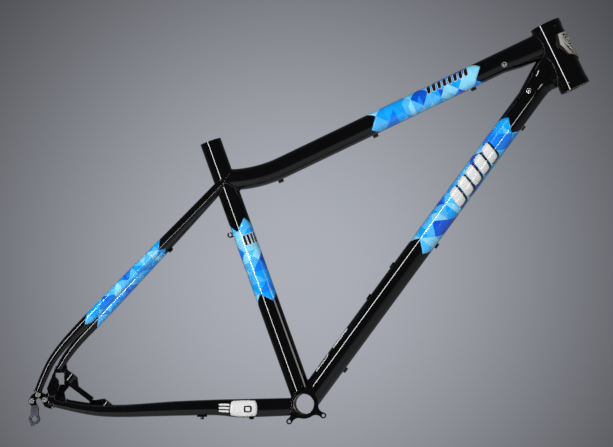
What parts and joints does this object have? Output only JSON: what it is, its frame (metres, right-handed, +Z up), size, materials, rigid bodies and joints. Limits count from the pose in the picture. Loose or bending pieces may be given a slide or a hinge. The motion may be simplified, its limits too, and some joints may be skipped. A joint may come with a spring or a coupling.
{
  "type": "bicycle frame",
  "caption": "Welded steel mountain bicycle frame with a curved top tube, post brake mounts, slotted dropouts and a bolt-on derailleur hanger.",
  "frame": {"origin": "centre of the bottom bracket shell", "axes": "+X forward along level ground, +Y to the rider's left along the bottom bracket axis, +Z up"},
  "size_m": [0.9305, 0.1605, 0.6373],
  "materials": {
    "frame_paint": "gloss black over steel tube",
    "badge_metal": "polished and darkened relief",
    "hanger_alloy": "bead blasted",
    "bolt_steel": "bright zinc plate",
    "plug_metal": "painted boss with a bright dome",
    "boss_steel": "black plated"
  },
  "bodies": {
    "root": {"head_tube": "frame_paint", "head_badge": "badge_metal", "top_tube": "frame_paint", "down_tube": "frame_paint", "seat_tube": "frame_paint", "bottom_bracket_shell": "frame_paint", "chain_guide_plate": "frame_paint", "right_chainstay": "frame_paint", "left_chainstay": "frame_paint", "chainstay_bridge": "frame_paint", "right_seatstay": "frame_paint", "left_seatstay": "frame_paint", "seatstay_bridge": "frame_paint", "right_dropout": "frame_paint", "left_dropout": "frame_paint", "derailleur_hanger": "hanger_alloy", "hanger_bolts": "bolt_steel", "upper_brake_post": "frame_paint", "lower_brake_post": "frame_paint", "brake_brace": "frame_paint", "bottle_bosses": "boss_steel", "top_tube_cable_guides": "frame_paint", "down_tube_cable_guides": "frame_paint", "seat_tube_cable_hook": "frame_paint", "seatstay_clip_mount": "frame_paint", "chainstay_clip_mounts": "frame_paint", "port_plugs": "plug_metal"}
  },
  "joints": []
}
